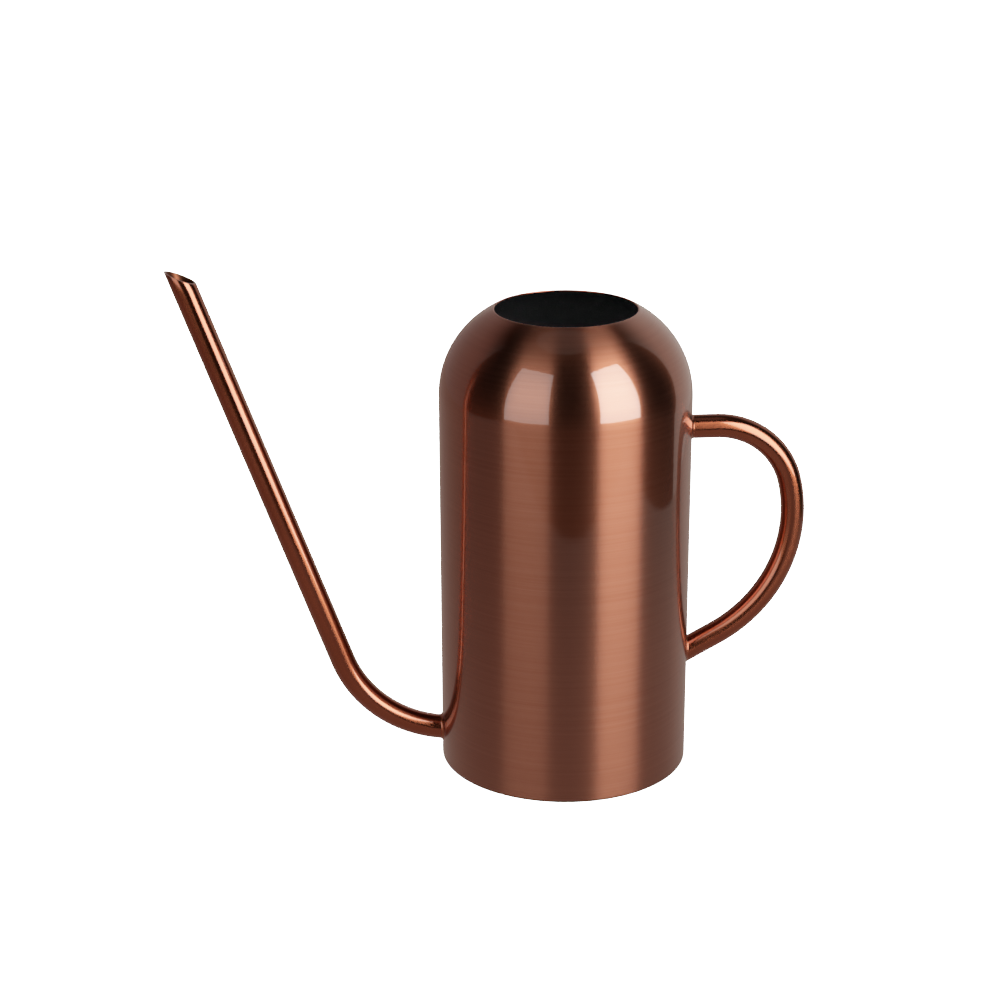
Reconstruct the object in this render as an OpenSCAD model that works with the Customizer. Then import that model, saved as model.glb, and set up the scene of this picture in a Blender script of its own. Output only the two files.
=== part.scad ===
// Long-spout watering can: one domed sheet-metal shell, a pressed base pan, a bent spout tube and a bent
// handle tube, all welded. The origin is on the body's axis in the plane that the can stands on. +Z is up,
// the spout leaves towards -X, the handle towards +X, and the can is symmetric about the XZ plane.

/* [Body] */
// Outer diameter of the body
body_d = 110; // [95:0.5:135]
// Height of the mouth's rim above the resting plane
body_h = 207; // [172:0.5:260]
// Wall thickness of the body
wall = 0.8; // [0.5:0.1:1.2]
// Radius of the domed shoulder, on the outside
dome_r = 42.5; // [35:0.5:52]
// Diameter of the round mouth
mouth_d = 61.5; // [50:0.5:76]

/* [Base] */
// Height of the base panel's underside above the resting plane
base_recess = 3.5; // [2.5:0.1:6]
// Sheet thickness of the base pan
base_t = 0.8; // [0.5:0.1:1.2]
// Outside radius of the bend between the base panel and its skirt
base_bend_r = 2; // [1.5:0.1:2.4]
// Clearance between the base pan's skirt and the body's wall
base_fit = 0.05; // [0:0.01:0.2]
// Height of the weld under the base pan's skirt
base_weld_h = 0.8; // [0.5:0.1:1.2]

/* [Spout] */
// Outer diameter of the spout tube
spout_d = 10.8; // [8.5:0.1:13]
// Wall thickness of the spout tube
spout_wall = 0.8; // [0.5:0.1:1.2]
// Height of the spout's centre line at the body's wall
spout_z = 13.3; // [11:0.1:24]
// Slope of the spout where it leaves the body, in degrees
spout_entry_slope = 8; // [0:0.5:15]
// Straight stretch between the body's wall and the bend
spout_lead = 1.5; // [1.5:0.1:6]
// Radius of the spout's bend, at the centre line
spout_bend_r = 53.5; // [42:0.5:66]
// Slope of the long straight run, in degrees
spout_slope = 70.2; // [58:0.1:80]
// Height of the spout's pointed lip above the mouth's rim
lip_above_mouth = 20.5; // [15:0.5:40]
// Angle between the lip's slanted cut and a square cut, in degrees
lip_cut = 42; // [20:1:52]
// How far the spout tube reaches in past the wall's inner face
spout_stub = 1.5; // [0.5:0.1:4]
// Radial clearance of the spout tube in its hole in the wall
spout_hole_fit = 0.1; // [0.05:0.01:0.3]

/* [Handle] */
// Outer diameter of the handle tube
handle_d = 10.5; // [8.5:0.1:13]
// Wall thickness of the handle tube
handle_wall = 0.8; // [0.5:0.1:1.2]
// Depth of the upper joint's centre line below the bottom of the dome
handle_drop = 16.7; // [12:0.1:25]
// Straight stretch from the wall to the first bend
handle_run = 11.5; // [5:0.5:20]
// Radius of the upper bend, at the centre line
handle_top_r = 34.5; // [27:0.5:40]
// Angle of the upper bend, in degrees
handle_top_turn = 76; // [65:1:90]
// Radius of the long lower bend, at the centre line
handle_back_r = 64.5; // [54:0.5:72]
// Slope of the handle where it comes back to the wall, in degrees
handle_end_slope = 29; // [20:1:40]

/* [Welds] */
// Leg of the weld round each tube
weld_leg = 1.2; // [0.8:0.1:1.5]

/* [Bends] */
// How much smaller a tube's radius is in its bends than in its straight stretches
bend_draw = 0.02; // [0.02:0.005:0.05]
// How far each straight stretch laps over the end of a bend
bend_lap = 0.3; // [0.3:0.05:0.6]

/* [Hidden] */
$fn = 128;
copper = [0.55, 0.31, 0.22];
copper_bright = [0.62, 0.33, 0.22];
copper_dark = [0.42, 0.22, 0.16];

// Body: the dome's outside is an arc round dome_centre, from the vertical wall in to the mouth.
body_r = body_d / 2;
mouth_r = mouth_d / 2;
dome_in = body_r - dome_r;
rim_r = wall / 2;
// The rim's round edge is centred on the middle of the wall, where that arc reaches the mouth.
mid_r = dome_r - rim_r;
rim_x = mouth_r + rim_r;
rim_angle = acos((rim_x - dome_in) / mid_r);
dome_rise = mid_r * sin(rim_angle) + rim_r;
shoulder_z = body_h - dome_rise;
rim_z = body_h - rim_r;

// Base pan
pan_r = body_r - wall - base_fit;

// Spout centre line in the plane Y = 0, with s the distance out from the body's axis
spout_r = spout_d / 2;
bend_start = [body_r, spout_z] + spout_lead * along(spout_entry_slope);
bend_centre = bend_start + spout_bend_r * [-sin(spout_entry_slope), cos(spout_entry_slope)];
bend_end = bend_centre + spout_bend_r * [sin(spout_slope), -cos(spout_slope)];
lip_rise = spout_r * (tan(lip_cut) * sin(spout_slope) - cos(spout_slope));
run_length = (body_h + lip_above_mouth - lip_rise - bend_end[1]) / sin(spout_slope);
lip_reach = spout_r * tan(lip_cut);

// Handle centre line in the plane Y = 0
handle_r = handle_d / 2;
handle_z = shoulder_z - handle_drop;
top_centre = [body_r + handle_run, handle_z - handle_top_r];
back_centre = top_centre
    + (handle_top_r - handle_back_r) * [sin(handle_top_turn), cos(handle_top_turn)];
top_end = top_centre + handle_top_r * [sin(handle_top_turn), cos(handle_top_turn)];
handle_back_turn = 180 - handle_end_slope - handle_top_turn;
back_end = back_centre + handle_back_r * [sin(handle_end_slope), -cos(handle_end_slope)];
end_run = (back_end[0] - body_r) / cos(handle_end_slope);
handle_low_z = back_end[1] - end_run * sin(handle_end_slope);

// Welds
weld_steps = 72;
weld_curve = [0, 0.25, 0.5, 0.75, 1];
weld_fullness = 0.45;
// Flat left at both toes of the base weld
weld_toe = 0.1;

// Half-plane wedge from the profile's origin, between two angles, that keeps one stretch of an arc
module sector(radius, from, to) {
    middle = (from + to) / 2;
    polygon([[0, 0], radius * 2 * [cos(from), sin(from)], radius * 2 * [cos(middle), sin(middle)],
             radius * 2 * [cos(to), sin(to)]]);
}

// Outline of the shell: straight wall, arc of the dome and the rim's round edge
module shell_outline() {
    translate([body_r - wall, 0]) square([wall, shoulder_z]);
    translate([dome_in, shoulder_z]) intersection() {
        difference() {
            circle(dome_r);
            circle(dome_r - wall);
        }
        sector(dome_r, 0, rim_angle);
    }
    translate([rim_x, rim_z]) circle(rim_r);
}

// The unit step along a slope in the plane Y = 0, as [x, z]
function along(slope) = [cos(slope), sin(slope)];

// A stretch of bar bent round a centre [x, z] in the plane Y = 0
module bent_rod(centre, bend_r, radius, from, turn) {
    translate([centre[0], 0, centre[1]]) rotate([90, 0, 0]) rotate([0, 0, from])
        rotate_extrude(angle = turn) translate([bend_r, 0]) circle(radius - bend_draw);
}

// A straight bar that leaves a point [x, z] at a slope in the plane Y = 0
module sloped_rod(start, slope, radius, length) {
    translate([start[0], 0, start[1]]) rotate([0, 90 - slope, 0]) cylinder(r = radius, h = length);
}

// The spout's centre line, drawn towards +X; grow lengthens both open ends
module spout_bar(radius, grow) {
    inner_reach = spout_lead + wall + spout_stub + grow;
    stub_start = bend_start - inner_reach * along(spout_entry_slope);
    sloped_rod(stub_start, spout_entry_slope, radius, inner_reach + bend_lap);
    bent_rod(bend_centre, spout_bend_r, radius, spout_entry_slope - 90, spout_slope - spout_entry_slope);
    sloped_rod(bend_end - bend_lap * along(spout_slope), spout_slope, radius,
               bend_lap + run_length + lip_reach + grow);
}

// Everything beyond the slanted cut at the spout's tip
module tip_waste() {
    size = 2 * (spout_d + lip_reach);
    tip = bend_end + run_length * along(spout_slope);
    translate([tip[0], 0, tip[1]])
        rotate([0, 90 - spout_slope - lip_cut, 0]) translate([-size / 2, -size / 2, 0]) cube(size);
}

// The handle's centre line; grow lengthens both ends into the body
module handle_bar(radius, grow) {
    inside = handle_d + grow;
    sloped_rod([body_r - inside, handle_z], 0, radius, handle_run + inside + bend_lap);
    bent_rod(top_centre, handle_top_r, radius, 90 - handle_top_turn, handle_top_turn);
    sloped_rod(top_end - bend_lap * along(-handle_top_turn), -handle_top_turn, radius, 2 * bend_lap);
    bent_rod(back_centre, handle_back_r, radius, handle_end_slope - 90, handle_back_turn);
    low_run = end_run + inside;
    sloped_rod(back_end - low_run * along(handle_end_slope), handle_end_slope, radius, low_run + bend_lap);
}

// How far along a sloped line from a point near the wall the body's outside is met, at a distance y from XZ
function to_wall(x, y, slope) = (sqrt(body_r * body_r - y * y) - x) / cos(slope);

// A point on the body's outside, at an angle round a tube of a given radius that meets the wall at a slope
function on_wall(z, slope, radius, angle) =
    let (x = body_r - radius * cos(angle) * sin(slope),
         y = radius * sin(angle),
         up = z + radius * cos(angle) * cos(slope),
         t = to_wall(x, y, slope))
    [x + t * cos(slope), y, up + t * sin(slope)];

// The weld's section at one angle: its root, its toe on the tube, a hollow face and its toe on the wall
function weld_section(z, slope, radius, angle) =
    let (root = on_wall(z, slope, radius, angle),
         tube_toe = root + weld_leg * [cos(slope), 0, sin(slope)],
         wall_toe = on_wall(z, slope, radius + weld_leg, angle),
         pull = root * (1 - weld_fullness) + (tube_toe + wall_toe) / 2 * weld_fullness)
    concat([root], [for (k = weld_curve)
        tube_toe * (1 - k) * (1 - k) + pull * 2 * k * (1 - k) + wall_toe * k * k]);

// A hollow-faced fillet weld round a tube that meets the wall on the +X side
module weld_ring(z, slope, radius) {
    size = len(weld_curve) + 1;
    points = [for (i = [0 : weld_steps - 1]) each weld_section(z, slope, radius, i * 360 / weld_steps)];
    faces = [for (i = [0 : weld_steps - 1], j = [0 : size - 1])
        let (next = (i + 1) % weld_steps, side = (j + 1) % size)
        each [[i * size + j, i * size + side, next * size + side],
              [i * size + j, next * size + side, next * size + j]]];
    polyhedron(points, faces);
}

module body_shell() {
    reach = wall + spout_d;
    hole_start = [body_r, spout_z] - reach * along(spout_entry_slope);
    color(copper) difference() {
        rotate_extrude() shell_outline();
        mirror([1, 0, 0])
            sloped_rod(hole_start, spout_entry_slope, spout_r + spout_hole_fit, 2 * reach);
    }
}

module base_plate() {
    inner_bend_r = base_bend_r - base_t;
    flat_r = pan_r - base_bend_r;
    top_z = base_recess + base_t;
    color(copper_dark) rotate_extrude() {
        translate([0, base_recess]) square([flat_r, base_t]);
        translate([flat_r, top_z - base_bend_r]) intersection() {
            difference() {
                circle(base_bend_r);
                circle(inner_bend_r);
            }
            square(base_bend_r);
        }
        translate([pan_r - base_t, base_weld_h]) square([base_t, top_z - base_bend_r - base_weld_h]);
    }
}

module spout_tube() {
    color(copper_bright) mirror([1, 0, 0]) difference() {
        spout_bar(spout_r, 0);
        spout_bar(spout_r - spout_wall, 1);
        tip_waste();
    }
}

module handle_tube() {
    color(copper_bright) difference() {
        handle_bar(handle_r, 0);
        handle_bar(handle_r - handle_wall, 1);
        cylinder(r = body_r, h = body_h);
    }
}

module spout_weld() {
    color(copper_bright) mirror([1, 0, 0]) weld_ring(spout_z, spout_entry_slope, spout_r);
}

module handle_top_weld() {
    color(copper_bright) weld_ring(handle_z, 0, handle_r);
}

module handle_bottom_weld() {
    color(copper_bright) weld_ring(handle_low_z, handle_end_slope, handle_r);
}

module base_weld() {
    color(copper_dark) rotate_extrude() difference() {
        translate([pan_r - base_t, 0]) square([base_t + base_fit, base_weld_h]);
        translate([pan_r - base_t, 0]) circle(base_weld_h - weld_toe);
    }
}

body_shell();
base_plate();
spout_tube();
handle_tube();
spout_weld();
handle_top_weld();
handle_bottom_weld();
base_weld();
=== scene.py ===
# %% [markdown]
# # A long-spout watering can in brushed copper
#
# The CAD model is already packed, and it fixes where every piece is and how big it is. This script only
# gives the can its looks. Each piece is made again as a clean mesh, in the same place and to the same size,
# because the CAD mesh is loose triangles and a mirror-like finish shows every one of them.

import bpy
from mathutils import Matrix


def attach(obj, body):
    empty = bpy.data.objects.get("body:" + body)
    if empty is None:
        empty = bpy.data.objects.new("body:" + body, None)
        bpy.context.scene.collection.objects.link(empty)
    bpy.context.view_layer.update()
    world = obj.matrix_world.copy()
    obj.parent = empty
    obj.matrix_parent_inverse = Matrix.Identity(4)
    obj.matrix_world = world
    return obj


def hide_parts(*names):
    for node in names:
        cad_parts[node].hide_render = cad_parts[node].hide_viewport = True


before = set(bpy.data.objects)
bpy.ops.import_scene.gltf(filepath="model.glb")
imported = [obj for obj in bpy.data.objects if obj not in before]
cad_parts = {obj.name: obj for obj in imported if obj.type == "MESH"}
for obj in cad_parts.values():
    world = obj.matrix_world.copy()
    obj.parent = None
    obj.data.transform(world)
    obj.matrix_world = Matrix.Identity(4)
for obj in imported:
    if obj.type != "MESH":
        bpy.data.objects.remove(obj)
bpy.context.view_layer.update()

# %% Modules and the sizes of the can
from math import acos, cos, degrees, exp, hypot, pi, radians, sin, sqrt, tan

import bmesh
import bpy
from mathutils import Matrix, Vector

MM = 0.001
BODY_R = 55 * MM
BODY_H = 207 * MM
WALL = 0.8 * MM
DOME_R = 42.5 * MM
MOUTH_R = 30.75 * MM
AXIS = Vector((0, 0, 0))
print("body", BODY_R * 2, "m across and", BODY_H, "m high")

# %% [markdown]
# ## Outlines
#
# A spun vessel is drawn the way a metal spinner thinks of it: half of its section in the XZ plane, made of
# straight lines and arcs. Two helpers carry one vertex along. The first extrudes it in a straight line and
# the second spins it round a centre, so that arcs come from an operator and not from a table of points.

# %% Helpers that draw an outline
PLANE_AXIS = (0, -1, 0)


def flat(x, z):
    """The point of the XZ plane at x, z."""
    return Vector((x, 0, z))


def start_outline(bm, x, z):
    return bm.verts.new(flat(x, z))


def line_to(bm, vert, x, z, steps=1):
    """Draws on in a straight line, in a number of equal steps, and returns the last vertex."""
    first, last = vert.co.copy(), flat(x, z)
    for step in range(1, steps + 1):
        vert = bmesh.ops.extrude_vert_indiv(bm, verts=[vert])["verts"][0]
        vert.co = first.lerp(last, step / steps)
    return vert


def arc_round(bm, vert, x, z, turn, steps):
    """Draws on along an arc round the centre x, z, by a turn in degrees, and returns the last vertex."""
    made = bmesh.ops.spin(bm, geom=[vert], cent=flat(x, z), axis=PLANE_AXIS,
                          angle=radians(turn), steps=steps)
    return [g for g in made["geom_last"] if isinstance(g, bmesh.types.BMVert)][0]


def close_outline(bm, first, last):
    bm.edges.new((last, first))


# %% Helpers that spin an outline and finish a piece
SMOOTH_BELOW = radians(32)
TINY = 1e-7


def spin_round_axis(bm, steps):
    """Spins everything drawn so far once round the can's axis into a closed skin."""
    bmesh.ops.spin(bm, geom=bm.verts[:] + bm.edges[:], cent=AXIS, axis=(0, 0, 1),
                   angle=radians(360), steps=steps, use_merge=True)
    bmesh.ops.remove_doubles(bm, verts=bm.verts, dist=TINY)
    bmesh.ops.recalc_face_normals(bm, faces=bm.faces)


def to_object(bm, name):
    """Turns a bmesh into a smooth-shaded object and says what it came to."""
    mesh = bpy.data.meshes.new(name)
    bm.to_mesh(mesh)
    open_edges = sum(1 for e in bm.edges if not e.is_manifold)
    bm.free()
    mesh.shade_smooth()
    mesh.set_sharp_from_angle(angle=SMOOTH_BELOW)
    piece = bpy.data.objects.new(name, mesh)
    bpy.context.scene.collection.objects.link(piece)
    print(name, len(mesh.polygons), "faces,", open_edges, "open edges")
    return piece


def stand_for(piece, node):
    """The piece is shown instead of a CAD node and rides on the can."""
    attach(piece, "root")
    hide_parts(node)


# %% [markdown]
# ## The body
#
# The real body is one sheet of metal, spun over a former into a straight wall and a dome, with the mouth cut
# out of the top and its edge rolled smooth. A surface of revolution fits that exactly: one outline goes up
# the outside, over the dome, round the rim and back down the inside. The rows are closer together near the
# foot, where the hole for the spout is cut.

# %% Outline of the body, spun round the axis
RIM_R = WALL / 2
DOME_IN = BODY_R - DOME_R
RIM_X = MOUTH_R + RIM_R
RIM_ANGLE = acos((RIM_X - DOME_IN) / (DOME_R - RIM_R))
SHOULDER_Z = BODY_H - RIM_R - (DOME_R - RIM_R) * sin(RIM_ANGLE)
RIM_Z = BODY_H - RIM_R
FOOT_EASE = 0.15 * MM
HOLE_ROWS = (5 * MM, 22 * MM)
AROUND = 256


def draw_body(bm):
    inner = BODY_R - WALL
    dome_turn = degrees(RIM_ANGLE)
    first = start_outline(bm, BODY_R, FOOT_EASE)
    v = line_to(bm, first, BODY_R, HOLE_ROWS[0], 4)
    v = line_to(bm, v, BODY_R, HOLE_ROWS[1], 18)
    v = line_to(bm, v, BODY_R, SHOULDER_Z, 36)
    v = arc_round(bm, v, DOME_IN, SHOULDER_Z, dome_turn, 48)
    v = arc_round(bm, v, RIM_X, RIM_Z, 180, 10)
    v = arc_round(bm, v, DOME_IN, SHOULDER_Z, -dome_turn, 24)
    v = line_to(bm, v, inner, HOLE_ROWS[1], 12)
    v = line_to(bm, v, inner, HOLE_ROWS[0], 18)
    v = line_to(bm, v, inner, FOOT_EASE, 2)
    v = arc_round(bm, v, inner + FOOT_EASE, FOOT_EASE, 90, 3)
    v = line_to(bm, v, BODY_R - FOOT_EASE, 0)
    v = arc_round(bm, v, BODY_R - FOOT_EASE, FOOT_EASE, 90, 3)
    bmesh.ops.remove_doubles(bm, verts=bm.verts, dist=TINY)


bm = bmesh.new()
draw_body(bm)
spin_round_axis(bm, AROUND)
body = to_object(bm, "body")
print("shoulder at", round(SHOULDER_Z, 5), "m, dome turns", round(degrees(RIM_ANGLE), 2), "degrees")

# %% [markdown]
# ## Bent tubes
#
# The spout and the handle are drawn tube, bent round formers. The mesh is made the same way: a circle is
# extruded along each straight stretch and spun round the centre of each bend. That keeps the tube exactly
# round all the way. A curve with a bevel would do too, but its rings would not sit where the bends begin.

# %% Helpers that run a tube
SIDES = 72
RUN = "run"
BORE = "bore"


def along(slope):
    """Unit step at a slope in degrees, in the XZ plane."""
    return flat(cos(radians(slope)), sin(radians(slope)))


def normal(slope):
    """Unit step at a right angle to a slope, on its left."""
    return flat(-sin(radians(slope)), cos(radians(slope)))


def new_tube():
    """An empty mesh whose vertices can note which way the tube runs and whether they are in its bore."""
    bm = bmesh.new()
    bm.verts.layers.float_vector.new(RUN)
    bm.verts.layers.int.new(BORE)
    return bm


def mark_run(bm, verts, direction):
    """Notes on each vertex which way the tube runs there; direction is worked out from the vertex's place."""
    layer = bm.verts.layers.float_vector[RUN]
    for v in verts:
        v[layer] = direction(v.co)


def open_tube(bm, start, slope, radius):
    """The first ring of a tube that leaves a point at a slope."""
    ring = bmesh.ops.create_circle(bm, cap_ends=False, segments=SIDES, radius=radius)["verts"]
    bmesh.ops.rotate(bm, verts=ring, cent=AXIS, matrix=Matrix.Rotation(radians(90 - slope), 3, "Y"))
    bmesh.ops.translate(bm, verts=ring, vec=start)
    mark_run(bm, ring, lambda place: along(slope))
    return ring


def ring_edges(ring):
    """The edges that join the vertices of a ring to each other."""
    inside = set(ring)
    return [e for e in {e for v in ring for e in v.link_edges} if all(v in inside for v in e.verts)]


def run_straight(bm, ring, slope, length, steps):
    """Extrudes a ring along a straight stretch."""
    for _ in range(steps):
        made = bmesh.ops.extrude_edge_only(bm, edges=ring_edges(ring))["geom"]
        ring = [g for g in made if isinstance(g, bmesh.types.BMVert)]
        bmesh.ops.translate(bm, verts=ring, vec=along(slope) * (length / steps))
        mark_run(bm, ring, lambda place: along(slope))
    return ring


def run_bend(bm, ring, centre, turn, steps):
    """Spins a ring round the centre of a bend, by a turn in degrees that is positive where it goes left."""
    before = set(bm.verts)
    made = bmesh.ops.spin(bm, geom=ring + ring_edges(ring), cent=centre, axis=PLANE_AXIS,
                          angle=radians(turn), steps=steps)
    mark_run(bm, set(bm.verts) - before, lambda place: Vector(PLANE_AXIS).cross(place - centre).normalized())
    return [g for g in made["geom_last"] if isinstance(g, bmesh.types.BMVert)]


def mark_bore(bm, outside):
    """Notes on each vertex whether it is on the tube's inner wall."""
    layer = bm.verts.layers.int[BORE]
    for v in bm.verts:
        v[layer] = int(v not in outside)


def join_ends(bm, outer, inner):
    """Closes one end of a tube with a ring of faces between its outer and its inner wall.

    The outer ring shrunk about its middle falls on the inner ring, and that says which vertices are partners.
    """
    middle = sum((v.co for v in outer), Vector()) / len(outer)
    shrink = sum((v.co - middle).length for v in inner) / sum((v.co - middle).length for v in outer)
    partner = {v: min(inner, key=lambda w: (w.co - middle.lerp(v.co, shrink)).length) for v in outer}
    return [bm.faces.new((a, b, partner[b], partner[a])) for a, b in (e.verts for e in ring_edges(outer))]


# %% [markdown]
# ## The spout
#
# The spout leaves the body near the foot, turns up through a wide bend and runs straight to a slanted lip.
# The wall is 0.8 mm thick and really hollow, so the lip shows a dark bore and a thin cut edge. For the
# slanted cut, each vertex of the last ring slides along the tube until it lies in the plane of the cut.

# %% Sizes of the spout
SPOUT_R = 5.4 * MM
SPOUT_WALL = 0.8 * MM
SPOUT_Z = 13.3 * MM
SPOUT_ENTRY = 8
SPOUT_LEAD = 1.5 * MM
SPOUT_BEND_R = 53.5 * MM
SPOUT_SLOPE = 70.2
LIP_ABOVE_MOUTH = 20.5 * MM
LIP_CUT = 42
LIP_LEAD = 1 * MM
LIP_EASE = 0.12 * MM
SPOUT_STUB = 1.5 * MM

spout_bend_start = flat(BODY_R, SPOUT_Z) + SPOUT_LEAD * along(SPOUT_ENTRY)
spout_bend_centre = spout_bend_start + SPOUT_BEND_R * normal(SPOUT_ENTRY)
spout_bend_end = spout_bend_centre - SPOUT_BEND_R * normal(SPOUT_SLOPE)
lip_rise = SPOUT_R * (tan(radians(LIP_CUT)) * sin(radians(SPOUT_SLOPE)) - cos(radians(SPOUT_SLOPE)))
spout_run = (BODY_H + LIP_ABOVE_MOUTH - lip_rise - spout_bend_end.z) / sin(radians(SPOUT_SLOPE))
spout_tip = spout_bend_end + spout_run * along(SPOUT_SLOPE)
print("straight run of the spout", round(spout_run, 5), "m")

# %% The spout tube


def slide_to_cut(ring):
    """Moves vertices along the spout until they lie in the slanted plane of the lip."""
    across, onward = along(SPOUT_SLOPE + LIP_CUT), along(SPOUT_SLOPE)
    for v in ring:
        v.co += onward * ((spout_tip - v.co).dot(across) / onward.dot(across))


def spout_wall(bm, radius):
    """One wall of the spout, from its end inside the body to the slanted lip; returns both end rings."""
    inside = SPOUT_LEAD + WALL + SPOUT_STUB
    slant = SPOUT_R * tan(radians(LIP_CUT)) + LIP_LEAD
    first = open_tube(bm, spout_bend_start - inside * along(SPOUT_ENTRY), SPOUT_ENTRY, radius)
    ring = run_straight(bm, first, SPOUT_ENTRY, inside, 3)
    ring = run_bend(bm, ring, spout_bend_centre, SPOUT_SLOPE - SPOUT_ENTRY, 40)
    ring = run_straight(bm, ring, SPOUT_SLOPE, spout_run - slant, 46)
    last = run_straight(bm, ring, SPOUT_SLOPE, slant, 1)
    slide_to_cut(last)
    return first, last


bm = new_tube()
outer_first, outer_last = spout_wall(bm, SPOUT_R)
outside = set(bm.verts)
inner_first, inner_last = spout_wall(bm, SPOUT_R - SPOUT_WALL)
mark_bore(bm, outside)
join_ends(bm, outer_first, inner_first)
lip_faces = join_ends(bm, outer_last, inner_last)
print("lip area", round(sum(f.calc_area() for f in lip_faces) * 1e6, 2), "square mm")
bmesh.ops.recalc_face_normals(bm, faces=bm.faces)
lip_edges = list({e for f in lip_faces for e in f.edges if any(g not in lip_faces for g in e.link_faces)})
bmesh.ops.bevel(bm, geom=lip_edges, offset=LIP_EASE, offset_type="OFFSET", segments=2, profile=0.5,
                affect="EDGES", material=-1)
bmesh.ops.scale(bm, vec=(-1, 1, 1), verts=bm.verts)
for v in bm.verts:
    v[bm.verts.layers.float_vector[RUN]].x *= -1
bmesh.ops.recalc_face_normals(bm, faces=bm.faces)
spout = to_object(bm, "spout")

# %% [markdown]
# ## The handle
#
# The handle leaves the wall level, turns down through two bends of different radius and comes back to the
# wall at a slope. Both ends are coped, which means cut hollow so that they sit on the round wall. In the mesh
# each vertex of an end ring simply slides along the tube until it meets the cylinder of the body.

# %% Sizes of the handle
HANDLE_R = 5.25 * MM
HANDLE_WALL = 0.8 * MM
HANDLE_DROP = 16.7 * MM
HANDLE_RUN = 11.5 * MM
HANDLE_TOP_R = 34.5 * MM
HANDLE_TOP_TURN = 76
HANDLE_BACK_R = 64.5 * MM
HANDLE_END = 29

handle_z = SHOULDER_Z - HANDLE_DROP
handle_start = flat(BODY_R, handle_z)
handle_top_centre = handle_start + flat(HANDLE_RUN, -HANDLE_TOP_R)
handle_joint = handle_top_centre + HANDLE_TOP_R * normal(-HANDLE_TOP_TURN)
handle_back_centre = handle_joint - HANDLE_BACK_R * normal(-HANDLE_TOP_TURN)
handle_back_end = handle_back_centre - HANDLE_BACK_R * normal(HANDLE_END)
handle_end_run = (handle_back_end.x - BODY_R) / cos(radians(HANDLE_END))
handle_low = handle_back_end - handle_end_run * along(HANDLE_END)
print("handle joins the wall at z", round(handle_z, 5), "and", round(handle_low.z, 5), "m")

# %% The handle tube


def slide_to_wall(ring, slope):
    """Moves vertices along a slope until they lie on the outside of the body's wall."""
    for v in ring:
        out = sqrt(BODY_R * BODY_R - v.co.y * v.co.y)
        v.co += along(slope) * ((out - v.co.x) / cos(radians(slope)))


def handle_wall(bm, radius):
    """One wall of the handle, with both of its ends coped; returns the end rings."""
    first = open_tube(bm, handle_start, 0, radius)
    ring = run_straight(bm, first, 0, HANDLE_RUN, 8)
    ring = run_bend(bm, ring, handle_top_centre, -HANDLE_TOP_TURN, 40)
    ring = run_bend(bm, ring, handle_back_centre, HANDLE_TOP_TURN + HANDLE_END - 180, 56)
    last = run_straight(bm, ring, HANDLE_END + 180, handle_end_run, 10)
    slide_to_wall(first, 0)
    slide_to_wall(last, HANDLE_END)
    return first, last


bm = new_tube()
outer_first, outer_last = handle_wall(bm, HANDLE_R)
outside = set(bm.verts)
inner_first, inner_last = handle_wall(bm, HANDLE_R - HANDLE_WALL)
mark_bore(bm, outside)
join_ends(bm, outer_first, inner_first)
join_ends(bm, outer_last, inner_last)
bmesh.ops.recalc_face_normals(bm, faces=bm.faces)
handle = to_object(bm, "handle")

# %% [markdown]
# ## Welds round the tubes
#
# Each tube is welded to the wall with a small bead that is polished back until it is a smooth hollow fillet.
# The fillet's section is spun round the tube as if the wall were flat, and then every vertex slides along
# the tube by as much as the round wall falls away from that flat, so the bead hugs both surfaces.

# %% The three fillet welds
WELD_LEG = 1.2 * MM
WELD_FULLNESS = 0.45
WELD_SIDES = 96
WELD_STEPS = 10


def fillet_section(bm, radius):
    """The fillet's section above the tube: x is the way out from the wall, z from the tube's axis."""
    first = start_outline(bm, 0, radius)
    toe = line_to(bm, first, WELD_LEG, radius)
    deep = WELD_LEG * WELD_FULLNESS / 2
    pull = radius + deep
    for step in range(1, WELD_STEPS + 1):
        k = step / WELD_STEPS
        toe = line_to(bm, toe, WELD_LEG * (1 - k) ** 2 + deep * 2 * k * (1 - k),
                      radius * (1 - k) ** 2 + pull * 2 * k * (1 - k) + (radius + WELD_LEG) * k ** 2)
    close_outline(bm, first, toe)


def weld_round(name, z, slope, radius, towards):
    """A fillet weld round a tube that meets the wall at a height and a slope, on the +X or the -X side."""
    bm = bmesh.new()
    fillet_section(bm, radius)
    bmesh.ops.spin(bm, geom=bm.verts[:] + bm.edges[:], cent=AXIS, axis=(1, 0, 0), angle=radians(360),
                   steps=WELD_SIDES, use_merge=True)
    bmesh.ops.rotate(bm, verts=bm.verts, cent=AXIS, matrix=Matrix.Rotation(radians(-slope), 3, "Y"))
    bmesh.ops.translate(bm, verts=bm.verts, vec=flat(BODY_R, z))
    for v in bm.verts:
        from_joint = v.co - flat(BODY_R, z)
        off_wall = from_joint.dot(along(slope))
        foot = v.co - off_wall * along(slope)
        out = sqrt(BODY_R * BODY_R - foot.y * foot.y)
        v.co = foot + along(slope) * ((out - foot.x) / cos(radians(slope)) + off_wall)
    if towards < 0:
        bmesh.ops.scale(bm, vec=(-1, 1, 1), verts=bm.verts)
    bmesh.ops.recalc_face_normals(bm, faces=bm.faces)
    return to_object(bm, name)


spout_bead = weld_round("spout_bead", SPOUT_Z, SPOUT_ENTRY, SPOUT_R, -1)
handle_top_bead = weld_round("handle_top_bead", handle_z, 0, HANDLE_R, 1)
handle_low_bead = weld_round("handle_low_bead", handle_low.z, HANDLE_END, HANDLE_R, 1)

# %% [markdown]
# ## The hole for the spout
#
# The body's wall is pierced where the spout goes in, so water can get out. A cylinder is taken away with a
# Boolean modifier and the result is kept as the body's mesh. The bead covers the edge of the hole outside.

# %% Pierce the body
HOLE_FIT = 0.1 * MM
DRILL_DEPTH = 24 * MM


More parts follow.
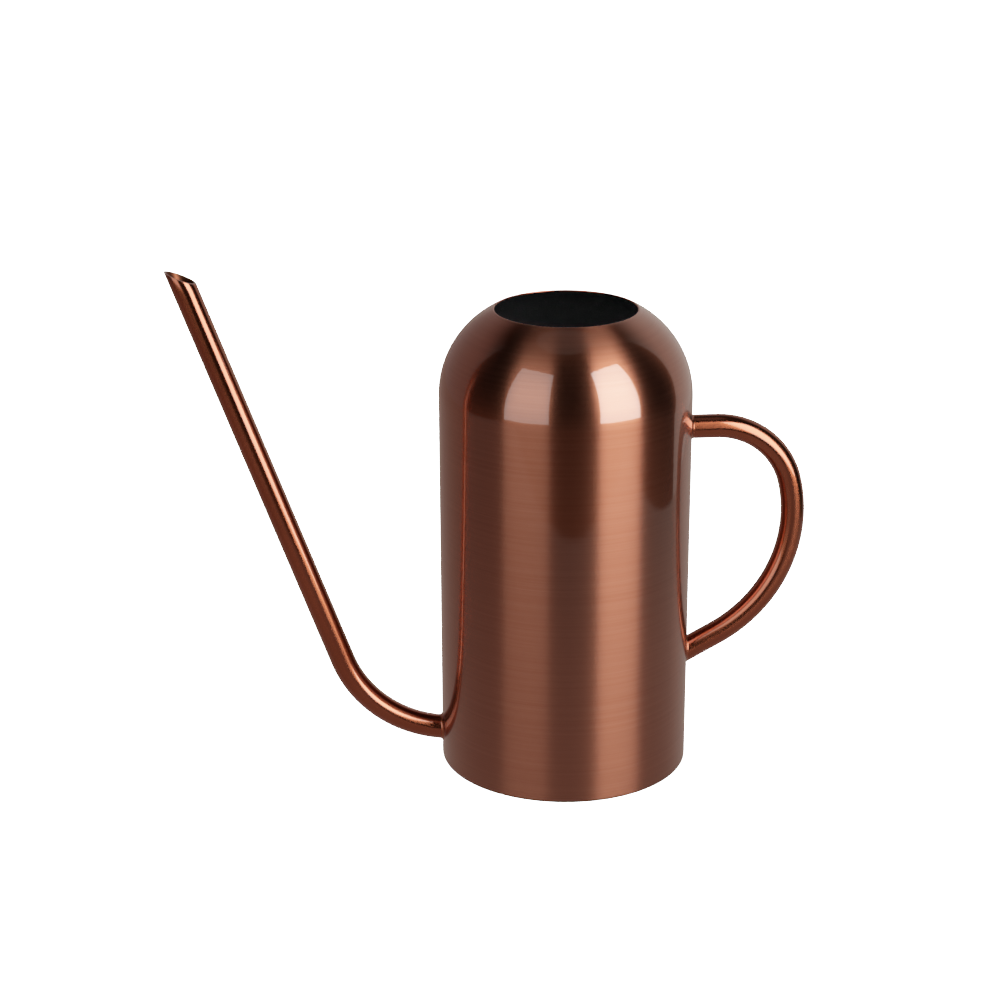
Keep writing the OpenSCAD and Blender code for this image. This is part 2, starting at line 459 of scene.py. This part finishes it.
def drill(depth):
    """A round bar along the spout's first stretch, to cut the hole with."""
    bm = bmesh.new()
    bmesh.ops.create_cone(bm, cap_ends=True, segments=SIDES, radius1=SPOUT_R + HOLE_FIT,
                          radius2=SPOUT_R + HOLE_FIT, depth=depth)
    bmesh.ops.rotate(bm, verts=bm.verts, cent=AXIS,
                     matrix=Matrix.Rotation(radians(90 - SPOUT_ENTRY), 3, "Y"))
    bmesh.ops.translate(bm, verts=bm.verts, vec=flat(BODY_R, SPOUT_Z))
    bmesh.ops.scale(bm, vec=(-1, 1, 1), verts=bm.verts)
    bmesh.ops.recalc_face_normals(bm, faces=bm.faces)
    return to_object(bm, "drill")


def cut_away(piece, cutter):
    """Takes the cutter out of the piece for good and removes the cutter."""
    cut = piece.modifiers.new("hole", "BOOLEAN")
    cut.operation, cut.solver, cut.object = "DIFFERENCE", "EXACT", cutter
    bpy.context.view_layer.update()
    whole = piece.evaluated_get(bpy.context.evaluated_depsgraph_get())
    mesh = bpy.data.meshes.new_from_object(whole)
    piece.modifiers.clear()
    piece.data = mesh
    bpy.data.objects.remove(cutter)
    return len(mesh.polygons)


print("body has", cut_away(body, drill(DRILL_DEPTH)), "faces with its hole")

# %% [markdown]
# ## The base pan and its weld
#
# The foot is closed by a shallow pressed pan that sits up inside the wall, so the can stands on the wall's
# edge. Its skirt is joined to the wall by a small hollow weld. Both are surfaces of revolution again.

# %% Base pan and base weld
BASE_RECESS = 3.5 * MM
BASE_T = 0.8 * MM
BASE_BEND_R = 2 * MM
BASE_WELD_H = 0.8 * MM
BASE_WELD_TOE = 0.1 * MM
PAN_R = BODY_R - WALL - 0.05 * MM


def draw_pan(bm):
    flat_r, top = PAN_R - BASE_BEND_R, BASE_RECESS + BASE_T
    bend_z = top - BASE_BEND_R
    v = start_outline(bm, 0, BASE_RECESS)
    v = line_to(bm, v, flat_r, BASE_RECESS, 24)
    v = arc_round(bm, v, flat_r, bend_z, -90, 10)
    v = line_to(bm, v, PAN_R - BASE_T, BASE_WELD_H, 2)
    v = line_to(bm, v, PAN_R, BASE_WELD_H)
    v = line_to(bm, v, PAN_R, bend_z, 2)
    v = arc_round(bm, v, flat_r, bend_z, 90, 12)
    line_to(bm, v, 0, top, 24)


def draw_base_weld(bm):
    x, ring_r = PAN_R - BASE_T, BASE_WELD_H - BASE_WELD_TOE
    wall_x = BODY_R - WALL
    first = start_outline(bm, x + ring_r, 0)
    v = line_to(bm, first, wall_x, 0)
    v = line_to(bm, v, wall_x, BASE_WELD_H, 3)
    v = line_to(bm, v, x, BASE_WELD_H, 3)
    v = line_to(bm, v, x, ring_r)
    v = arc_round(bm, v, x, 0, -90, 8)
    bmesh.ops.remove_doubles(bm, verts=bm.verts, dist=TINY)


bm = bmesh.new()
draw_pan(bm)
spin_round_axis(bm, 192)
base_pan = to_object(bm, "base_pan")

bm = bmesh.new()
draw_base_weld(bm)
spin_round_axis(bm, 192)
base_bead = to_object(bm, "base_bead")

# %% Put each piece in its place in the frame
stand_for(body, "body_shell")
stand_for(base_pan, "base_plate")
stand_for(base_bead, "base_weld")
stand_for(spout, "spout_tube")
stand_for(handle, "handle_tube")
stand_for(spout_bead, "spout_weld")
stand_for(handle_top_bead, "handle_top_weld")
stand_for(handle_low_bead, "handle_bottom_weld")

# %% [markdown]
# ## Finishes
#
# All of the metal is sheet steel with a copper plating under clear lacquer. Its Principled shader has two
# layers: the metal below, which is tinted and blurred by the brushing, and a smooth clear coat above, which
# mirrors the lights sharply and without tint. Numbers that are the same all over are set on the shader's own
# sockets, and only what really varies over the surface is made with nodes.

# %% Helpers for materials


def new_material(name):
    """A material with node setup, its shader and its node tree."""
    material = bpy.data.materials.new(name)
    material.use_nodes = True
    tree = material.node_tree
    return material, tree, tree.nodes["Principled BSDF"]


def node(tree, kind, **settings):
    made = tree.nodes.new(kind)
    for key, value in settings.items():
        setattr(made, key, value)
    return made


def place(tree, scale):
    """Object coordinates in metres times a scale, for a pattern of real size."""
    where = node(tree, "ShaderNodeTexCoord")
    sized = node(tree, "ShaderNodeMapping")
    sized.inputs["Scale"].default_value = scale
    tree.links.new(where.outputs["Object"], sized.inputs["Vector"])
    return sized.outputs["Vector"]


def noise(tree, scale, detail=2.0, roughness=0.5):
    """Noise on Object coordinates; scale is features per metre along X, Y and Z."""
    made = node(tree, "ShaderNodeTexNoise")
    made.inputs["Scale"].default_value = 1.0
    made.inputs["Detail"].default_value = detail
    made.inputs["Roughness"].default_value = roughness
    tree.links.new(place(tree, scale), made.inputs["Vector"])
    return made.outputs["Fac"]


def spread(tree, value, low, high):
    """Maps a noise of about 0.3 to 0.7 onto a range from low to high."""
    made = node(tree, "ShaderNodeMapRange")
    made.inputs["From Min"].default_value = 0.3
    made.inputs["From Max"].default_value = 0.7
    made.inputs["To Min"].default_value = low
    made.inputs["To Max"].default_value = high
    tree.links.new(value, made.inputs["Value"])
    return made.outputs["Result"]


def blend(tree, factor, first, second):
    """A colour between two others; the second may be a colour that nodes have made."""
    made = node(tree, "ShaderNodeMix", data_type="RGBA")
    made.inputs["A"].default_value = (*first, 1)
    if isinstance(second, tuple):
        made.inputs["B"].default_value = (*second, 1)
    else:
        tree.links.new(second, made.inputs["B"])
    tree.links.new(factor, made.inputs["Factor"])
    return made.outputs["Result"]


def ramp(tree, value, start, end, low, high):
    """Runs smoothly from low to high while a value goes from start to end."""
    made = node(tree, "ShaderNodeMapRange", interpolation_type="SMOOTHSTEP")
    for socket, number in (("From Min", start), ("From Max", end), ("To Min", low), ("To Max", high)):
        made.inputs[socket].default_value = number
    tree.links.new(value, made.inputs["Value"])
    return made.outputs["Result"]


def bump(tree, height, strength, distance):
    made = node(tree, "ShaderNodeBump")
    made.inputs["Strength"].default_value = strength
    made.inputs["Distance"].default_value = distance
    tree.links.new(height, made.inputs["Height"])
    return made.outputs["Normal"]


# %% [markdown]
# ### Brushed copper of the body
#
# The body is brushed round its axis on a lathe, so fine lines run round it. Light spreads a long way across
# the lines, up and down the can, and hardly at all along them. That is what anisotropy does: the roughness is
# split into a large part and a small part, and the tangent, turned a quarter, says which way is which. The
# lines themselves are a noise that is squeezed in Z until each line is a few tenths of a millimetre wide.

# %% Body material
COPPER = (0.338, 0.122, 0.072)
COPPER_DEEP = (0.304, 0.103, 0.058)
# painted shade: a near-black colour for the body's bottom edge, standing in for the contact shadow that the
# glowing white floor does not cast
FOOT_SHADE_PAINT = (0.05, 0.02, 0.015)
POLISHED = (0.36, 0.097, 0.045)
POLISHED_DEEP = (0.31, 0.078, 0.034)


def brushed_copper(name):
    material, tree, shader = new_material(name)
    lines = noise(tree, (14, 14, 3200), detail=3.0, roughness=0.7)
    broad = noise(tree, (9, 9, 900), detail=4.0, roughness=0.75)
    where = node(tree, "ShaderNodeSeparateXYZ")
    tree.links.new(place(tree, (1, 1, 1)), where.inputs["Vector"])
    metal = blend(tree, spread(tree, broad, 0, 1), COPPER_DEEP, COPPER)
    # painted contact shadow: within 0.9 mm of the bottom the base colour runs down to near-black, a dark line
    # along the foot
    foot = ramp(tree, where.outputs["Z"], 0.2 * MM, 0.9 * MM, 0, 1)
    tree.links.new(blend(tree, foot, FOOT_SHADE_PAINT, metal), shader.inputs["Base Color"])
    tree.links.new(spread(tree, lines, 0.29, 0.34), shader.inputs["Roughness"])
    tree.links.new(bump(tree, lines, 0.12, 0.05 * MM), shader.inputs["Normal"])
    grain = node(tree, "ShaderNodeTangent", direction_type="RADIAL", axis="Z")
    tree.links.new(grain.outputs["Tangent"], shader.inputs["Tangent"])
    ripple = noise(tree, (6, 6, 1800), detail=1.0)
    tree.links.new(bump(tree, ripple, 0.5, 0.01 * MM), shader.inputs["Coat Normal"])
    shader.inputs["Metallic"].default_value = 1.0
    shader.inputs["Anisotropic"].default_value = 0.93
    shader.inputs["Anisotropic Rotation"].default_value = 0.25
    shader.inputs["Coat Weight"].default_value = 1.0
    shader.inputs["Coat Roughness"].default_value = 0.03
    shader.inputs["Coat IOR"].default_value = 1.6
    return material


body_copper = brushed_copper("body_copper")
print("made", body_copper.name, "with", len(body_copper.node_tree.nodes), "nodes")

# %% [markdown]
# ### Polished copper of the tubes
#
# The tubes are polished by hand, so they mirror the room in thin streaks. A hand leaves the surface very
# slightly wavy, which a broad, faint bump gives, and fine marks, which vary the roughness. It also rubs along
# the tube, so light spreads that way most. The tangent for that is the direction that each vertex noted while
# the tube was made, because no direction in space fits a tube that bends. The welds have no such direction.

# %% Tube material


def polished_copper(name, low, high, wave, stretch):
    """Copper with a roughness from low to high; stretch is how far light spreads along the tube, 0 to 1."""
    material, tree, shader = new_material(name)
    marks = noise(tree, (240, 240, 240), detail=2.0)
    swell = noise(tree, (55, 55, 55), detail=1.0)
    cloud = noise(tree, (30, 30, 30), detail=2.0)
    tree.links.new(blend(tree, spread(tree, cloud, 0, 1), POLISHED_DEEP, POLISHED),
                   shader.inputs["Base Color"])
    tree.links.new(spread(tree, marks, low, high), shader.inputs["Roughness"])
    tree.links.new(bump(tree, swell, wave, 1 * MM), shader.inputs["Normal"])
    if stretch:
        length = node(tree, "ShaderNodeAttribute", attribute_type="GEOMETRY", attribute_name=RUN)
        tree.links.new(length.outputs["Vector"], shader.inputs["Tangent"])
        shader.inputs["Anisotropic"].default_value = stretch
    shader.inputs["Metallic"].default_value = 1.0
    shader.inputs["Coat Weight"].default_value = 1.0
    shader.inputs["Coat Roughness"].default_value = 0.03
    shader.inputs["Coat IOR"].default_value = 1.4
    return material


tube_copper = polished_copper("tube_copper", 0.215, 0.23, 0.02, 0.7)
dark_weld = polished_copper("dark_weld", 0.3, 0.4, 0.05, 0)
weld_copper = polished_copper("weld_copper", 0.2, 0.3, 0.05, 0)
rim_copper = polished_copper("rim_copper", 0.25, 0.35, 0.0, 0)
print("made", [m.name for m in (tube_copper, dark_weld, weld_copper, rim_copper)])

# %% [markdown]
# ### Inside and underneath
#
# The inside is coloured almost pure black, so the mouth looks like a dark disc. Under the foot the
# pan is left satin, with the fine rings that turning leaves. Nobody polishes the bore of a tube, so it is
# darker and rougher than the outside.

# %% Lining and base materials


# colours the inside of the body almost pure black, far darker than the copper, with a faint grain
def near_black_inside(name):
    material, tree, shader = new_material(name)
    grain = noise(tree, (2200, 2200, 2200), detail=2.0)
    tree.links.new(blend(tree, grain, (0.004, 0.004, 0.0045), (0.008, 0.008, 0.0085)),
                   shader.inputs["Base Color"])
    tree.links.new(spread(tree, grain, 0.55, 0.75), shader.inputs["Roughness"])
    tree.links.new(bump(tree, grain, 0.2, 0.1 * MM), shader.inputs["Normal"])
    shader.inputs["Specular IOR Level"].default_value = 0.2
    return material


def turned_copper(name):
    material, tree, shader = new_material(name)
    marks = noise(tree, (900, 900, 900), detail=3.0, roughness=0.6)
    tree.links.new(blend(tree, spread(tree, marks, 0, 1), COPPER_DEEP, COPPER), shader.inputs["Base Color"])
    tree.links.new(spread(tree, marks, 0.32, 0.44), shader.inputs["Roughness"])
    grain = node(tree, "ShaderNodeTangent", direction_type="RADIAL", axis="Z")
    tree.links.new(grain.outputs["Tangent"], shader.inputs["Tangent"])
    shader.inputs["Metallic"].default_value = 1.0
    shader.inputs["Anisotropic"].default_value = 0.7
    shader.inputs["Anisotropic Rotation"].default_value = 0.25
    return material


def bore_copper(name):
    material, tree, shader = new_material(name)
    stain = noise(tree, (260, 260, 260), detail=3.0)
    tree.links.new(blend(tree, spread(tree, stain, 0, 1), (0.05, 0.016, 0.008), (0.16, 0.05, 0.025)),
                   shader.inputs["Base Color"])
    tree.links.new(spread(tree, stain, 0.5, 0.35), shader.inputs["Roughness"])
    shader.inputs["Metallic"].default_value = 1.0
    return material


inside_black = near_black_inside("inside_black")
bore = bore_copper("bore_copper")
base_copper = turned_copper("base_copper")
print("made", [m.name for m in (inside_black, bore, base_copper)])

# %% Give the pieces their materials
RIM_SPAN = WALL * 0.55


def zone_of(face):
    """Which part of the body a face belongs to: 0 outside, 1 inside, 2 the rolled rim."""
    c = face.center
    r = hypot(c.x, c.y)
    if hypot(r - RIM_X, c.z - RIM_Z) < RIM_SPAN:
        return 2
    middle = BODY_R - RIM_R if c.z < SHOULDER_Z else DOME_R - RIM_R
    reach = r if c.z < SHOULDER_Z else hypot(r - DOME_IN, c.z - SHOULDER_Z)
    return 0 if reach > middle else 1


for material in (body_copper, inside_black, rim_copper):
    body.data.materials.append(material)
for face in body.data.polygons:
    face.material_index = zone_of(face)
for tube in (spout, handle):
    tube.data.materials.append(tube_copper)
    tube.data.materials.append(bore)
    in_bore = tube.data.attributes[BORE].data
    for face in tube.data.polygons:
        face.material_index = int(all(in_bore[v].value for v in face.vertices))
for piece, material in ((spout_bead, dark_weld),
                        (handle_top_bead, weld_copper), (handle_low_bead, weld_copper),
                        (base_pan, base_copper), (base_bead, base_copper)):
    piece.data.materials.append(material)
print("body zones:", [sum(1 for f in body.data.polygons if f.material_index == i) for i in range(3)])

# %% [markdown]
# ## The studio
#
# A glossy object is lit by what it mirrors. Two tall softboxes stand in front, one on each side of the
# camera, and between them the room is dark, which gives the two bright bands with a dark one between. The
# rest of the room is three faintly glowing surfaces: a table under the can, a wall that curves round its back
# and brightens its edges, and a ceiling for the top of the dome. They are seen only in the metal. What the
# camera itself sees is a plain white floor that curves up into a wall.

# %% The white floor
FLOOR_R, SWEEP_R, SWEEP_HIGH = 3, 1.5, 5
FLOOR_SHINE = 1.05


def stage_mesh(name, material, build):
    bm = bmesh.new()
    build(bm)
    thing = to_object(bm, name)
    thing.data.materials.append(material)
    return thing


def glow(name, left, right, half, fade_low, fade_high):
    """A surface that shines with one colour at its left and another at its right, and fades as it goes up."""
    material = bpy.data.materials.new(name)
    material.use_nodes = True
    tree = material.node_tree
    tree.nodes.remove(tree.nodes["Principled BSDF"])
    where = node(tree, "ShaderNodeSeparateXYZ")
    tree.links.new(place(tree, (1, 1, 1)), where.inputs["Vector"])
    lamp = node(tree, "ShaderNodeEmission")
    sideways = ramp(tree, where.outputs["X"], -half, half, 0, 1)
    tree.links.new(blend(tree, sideways, left, right), lamp.inputs["Color"])
    tree.links.new(ramp(tree, where.outputs["Z"], fade_low, fade_high, 1, 0), lamp.inputs["Strength"])
    tree.links.new(lamp.outputs["Emission"], tree.nodes["Material Output"].inputs["Surface"])
    return material


def floor_white(name, shine):
    material, tree, shader = new_material(name)
    shader.inputs["Base Color"].default_value = (0.9, 0.9, 0.9, 1)
    shader.inputs["Roughness"].default_value = 0.9
    shader.inputs["Specular IOR Level"].default_value = 0.0
    shader.inputs["Emission Color"].default_value = (1, 1, 1, 1)
    shader.inputs["Emission Strength"].default_value = shine
    return material


def sweep(bm):
    """A round floor whose edge curves up into a wall."""
    v = start_outline(bm, 0, 0)
    v = line_to(bm, v, FLOOR_R, 0, 4)
    v = arc_round(bm, v, FLOOR_R, SWEEP_R, 90, 12)
    line_to(bm, v, FLOOR_R + SWEEP_R, SWEEP_HIGH, 2)
    spin_round_axis(bm, 96)


floor = stage_mesh("floor", floor_white("floor_white", FLOOR_SHINE), sweep)
floor.visible_glossy = False

# %% Softboxes, table, wall and ceiling
TABLE_LEFT, TABLE_RIGHT, TABLE_FRONT, TABLE_BACK, TABLE_Z = -0.85, 0.40, -0.385, 1.5, -0.002
WALL_AWAY, WALL_LOW, WALL_HIGH, WALL_FROM = 1.6, -1.0, 2.4, 17
CEILING_R, CEILING_Z = 0.8, 2.6
GLOW_HALF = 0.5
WALL_FADE = (1.0, 2.4)
NO_FADE = (9, 10)


def softbox(name, azimuth, distance, width, low, high, radiance):
    """A tall softbox that faces the can's axis. Azimuth 0 is in front, and positive towards +X."""
    light = bpy.data.lights.new(name, "AREA")
    light.shape, light.size, light.size_y = "RECTANGLE", width, high - low
    light.energy = radiance * pi * width * (high - low)
    lamp = bpy.data.objects.new(name, light)
    bpy.context.scene.collection.objects.link(lamp)
    lamp.location = (distance * sin(radians(azimuth)), -distance * cos(radians(azimuth)), (low + high) / 2)
    lamp.rotation_euler = (radians(90), 0, radians(azimuth))
    lamp.visible_camera = False
    return lamp


def table(bm):
    """The table top, a little to the left of the can's middle."""
    edge = line_to(bm, start_outline(bm, TABLE_LEFT, TABLE_Z), TABLE_RIGHT, TABLE_Z)
    made = bmesh.ops.extrude_edge_only(bm, edges=edge.link_edges[:])["geom"]
    bmesh.ops.translate(bm, verts=bm.verts, vec=(0, TABLE_FRONT, 0))
    bmesh.ops.translate(bm, verts=[g for g in made if isinstance(g, bmesh.types.BMVert)],
                        vec=(0, TABLE_BACK - TABLE_FRONT, 0))


def curved_wall(bm):
    """A wall that curves round the back of the can, from its left side to its right."""
    line_to(bm, start_outline(bm, WALL_AWAY, WALL_LOW), WALL_AWAY, WALL_HIGH)
    bmesh.ops.rotate(bm, verts=bm.verts, cent=AXIS, matrix=Matrix.Rotation(radians(WALL_FROM), 3, "Z"))
    bmesh.ops.spin(bm, geom=bm.verts[:] + bm.edges[:], cent=AXIS, axis=(0, 0, 1),
                   angle=radians(180 - 2 * WALL_FROM), steps=48)


def ceiling(bm):
    bmesh.ops.create_circle(bm, cap_ends=True, segments=48, radius=CEILING_R)
    bmesh.ops.translate(bm, verts=bm.verts, vec=(0, 0, CEILING_Z))


softbox("softbox_right", 41.8, 0.95, 0.65, 0.02, 1.25, 2.5)
softbox("softbox_left", -41, 0.95, 0.69, 0.02, 1.22, 0.64)
for name, build, left, right, fade in (
        ("table_top", table, (0.070, 0.043, 0.035), (0.112, 0.088, 0.077), NO_FADE),
        ("back_wall", curved_wall, (0.074, 0.050, 0.045), (0.165, 0.137, 0.123), WALL_FADE),
        ("ceiling", ceiling, (0.06, 0.05, 0.045), (0.06, 0.05, 0.045), NO_FADE)):
    seen = stage_mesh(name, glow(name + "_glow", left, right, GLOW_HALF, *fade), build)
    seen.visible_camera = seen.visible_diffuse = seen.visible_shadow = False

world = bpy.data.worlds.new("room")
bpy.context.scene.world = world
world.use_nodes = True
world.node_tree.nodes["Background"].inputs["Color"].default_value = (0.003, 0.003, 0.003, 1)
world.node_tree.nodes["Background"].inputs["Strength"].default_value = 1.0

# %% [markdown]
# ## The camera
#
# A long lens from a little way off keeps the can's proportions. The camera stands about a metre away, looks
# down a little and is turned a few degrees from square on.

# %% Camera
camera = bpy.data.objects.new("camera", bpy.data.cameras.new("camera"))
bpy.context.scene.collection.objects.link(camera)
CAMERA_AT = Vector((-0.118133, -0.962131, 0.465333))
LOOK = Vector((0.08725, 0.93795, -0.33563)).normalized()
RIGHT = Vector((0.99559, -0.09372, -0.00311)).normalized()
UP = RIGHT.cross(LOOK)
camera.matrix_world = Matrix.Translation(CAMERA_AT) @ Matrix((RIGHT, UP, -LOOK)).transposed().to_4x4()
camera.data.sensor_width = 36
camera.data.lens = 84.23
camera.data.clip_start, camera.data.clip_end = 0.05, 50
bpy.context.scene.camera = camera
print("lens", camera.data.lens, "mm,", round(CAMERA_AT.length, 3), "m from the can's foot")

# %% [markdown]
# ## How the film answers to light
#
# Film doesn't clip: each further step of light adds less than the one before it. That keeps colour in the
# bright bands, where a straight scale would turn them flat and pale. The curve is 1 less e to the power of
# minus FILM times the light, scaled to end at 1, and its points stand closer together in the shadows.

# %% Film curve
FILM = 4.0
FILM_STEPS = 12
view = bpy.context.scene.view_settings
view.view_transform = "Standard"
view.use_curve_mapping = True
curve = view.curve_mapping.curves[3]
for step in range(1, FILM_STEPS):
    light = (step / FILM_STEPS) ** 2
    curve.points.new(light, (1 - exp(-FILM * light)) / (1 - exp(-FILM)))
view.curve_mapping.update()
print("film curve has", len(curve.points), "points")
